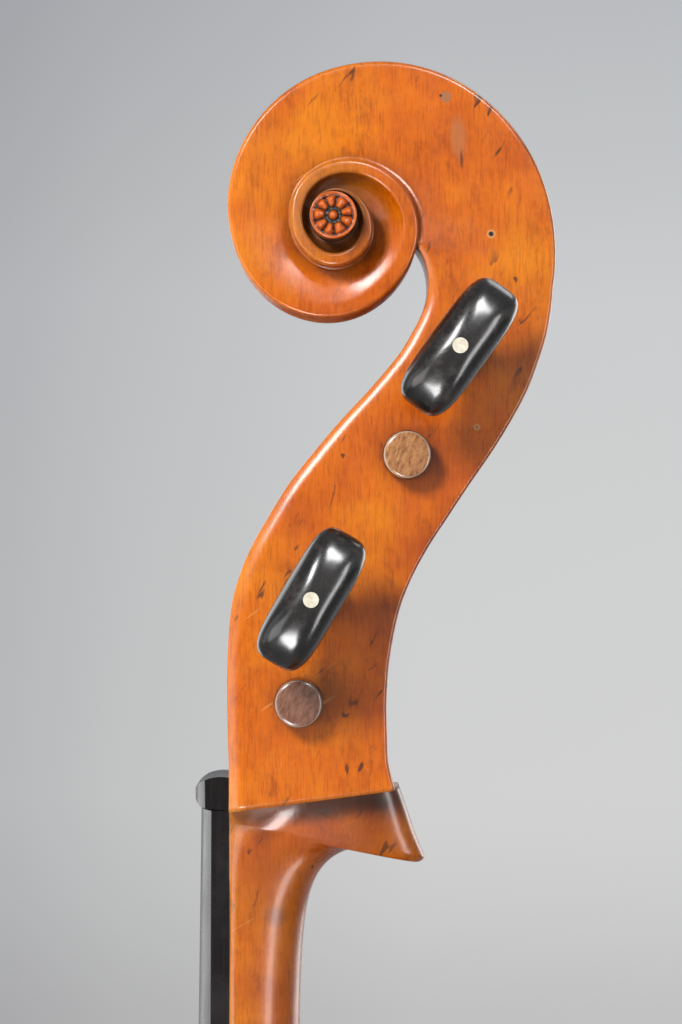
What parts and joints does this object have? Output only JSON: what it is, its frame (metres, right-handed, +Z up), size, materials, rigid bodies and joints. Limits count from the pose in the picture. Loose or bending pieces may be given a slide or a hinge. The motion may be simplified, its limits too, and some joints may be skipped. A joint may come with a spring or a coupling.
{
  "type": "cello",
  "caption": "Full-size cello, unstrung: arched body with f-holes, grafted neck, fingerboard, pegbox with scroll, four tapered pegs and a sliding endpin.",
  "frame": {"origin": "the point of the endpin, pushed in, on the endpin hole's axis", "axes": "+Z up the body, -Y out of the front, +X to the treble side"},
  "size_m": [0.436, 0.2259, 1.2804],
  "materials": {
    "head_maple": "golden orange-red varnish, worn at the edges",
    "neck_maple": "golden orange varnish, thinner on the handle",
    "maple_varnished": "golden orange-red varnish over flamed maple",
    "spruce_varnished": "golden orange varnish over straight-grained spruce",
    "inner_spruce": "bare wood",
    "ebony": "polished black wood",
    "peg_wood": "polished dark wood",
    "plug_wood": "polished dark wood",
    "bone_dots": "bone-coloured inlay",
    "brass_fittings": "satin",
    "steel_rod": "polished along its length",
    "purfling_black": "stained strip",
    "purfling_white": "pale strip"
  },
  "bodies": {
    "body": {"back_plate_bass": "maple_varnished", "back_plate_treble": "maple_varnished", "back_purfling_black": "purfling_black", "back_purfling_white": "purfling_white", "bass_bar": "inner_spruce", "bottom_block": "inner_spruce", "endpin_ferrule": "brass_fittings", "endpin_plug": "plug_wood", "fingerboard": "ebony", "head": "head_maple", "lining_lower_bass_back": "inner_spruce", "lining_lower_bass_front": "inner_spruce", "lining_lower_treble_back": "inner_spruce", "lining_lower_treble_front": "inner_spruce", "lining_middle_bass_back": "inner_spruce", "lining_middle_bass_front": "inner_spruce", "lining_middle_treble_back": "inner_spruce", "lining_middle_treble_front": "inner_spruce", "lining_upper_bass_back": "inner_spruce", "lining_upper_bass_front": "inner_spruce", "lining_upper_treble_back": "inner_spruce", "lining_upper_treble_front": "inner_spruce", "lower_corner_block_bass": "inner_spruce", "lower_corner_block_treble": "inner_spruce", "neck": "neck_maple", "nut": "ebony", "rib_lower_bass": "maple_varnished", "rib_lower_treble": "maple_varnished", "rib_middle_bass": "maple_varnished", "rib_middle_treble": "maple_varnished", "rib_upper_bass": "maple_varnished", "rib_upper_treble": "maple_varnished", "saddle": "ebony", "sound_post": "inner_spruce", "top_block": "inner_spruce", "top_plate_bass": "spruce_varnished", "top_plate_treble": "spruce_varnished", "top_purfling_black": "purfling_black", "top_purfling_white": "purfling_white", "upper_corner_block_bass": "inner_spruce", "upper_corner_block_treble": "inner_spruce"},
    "peg_c": {"peg_c": "peg_wood", "peg_dot_c": "bone_dots"},
    "peg_a": {"peg_a": "peg_wood", "peg_dot_a": "bone_dots"},
    "peg_g": {"peg_g": "peg_wood", "peg_dot_g": "bone_dots"},
    "peg_d": {"peg_d": "peg_wood", "peg_dot_d": "bone_dots"},
    "endpin": {"endpin_rod": "steel_rod"},
    "endpin_screw": {"endpin_screw": "brass_fittings"}
  },
  "joints": [
    {"name": "peg_c_turn", "type": "hinge", "parent": "body", "child": "peg_c", "pos_m": [0, -0.01666, 1.10171], "axis": [-1, 0, 0], "continuous": true},
    {"name": "peg_a_turn", "type": "hinge", "parent": "body", "child": "peg_a", "pos_m": [0, -0.00843, 1.13111], "axis": [1, 0, 0], "continuous": true},
    {"name": "peg_g_turn", "type": "hinge", "parent": "body", "child": "peg_g", "pos_m": [0, 0.02449, 1.16734], "axis": [-1, 0, 0], "continuous": true},
    {"name": "peg_d_turn", "type": "hinge", "parent": "body", "child": "peg_d", "pos_m": [0, 0.04294, 1.19472], "axis": [1, 0, 0], "continuous": true},
    {"name": "endpin_slide", "type": "slide", "parent": "body", "child": "endpin", "axis": [0, 0, -1], "range_m": [0, 0.34]},
    {"name": "endpin_screw_turn", "type": "hinge", "parent": "body", "child": "endpin_screw", "pos_m": [0, -0.012, 0.03], "axis": [0, -1, 0], "range_deg": [0, 360]}
  ]
}
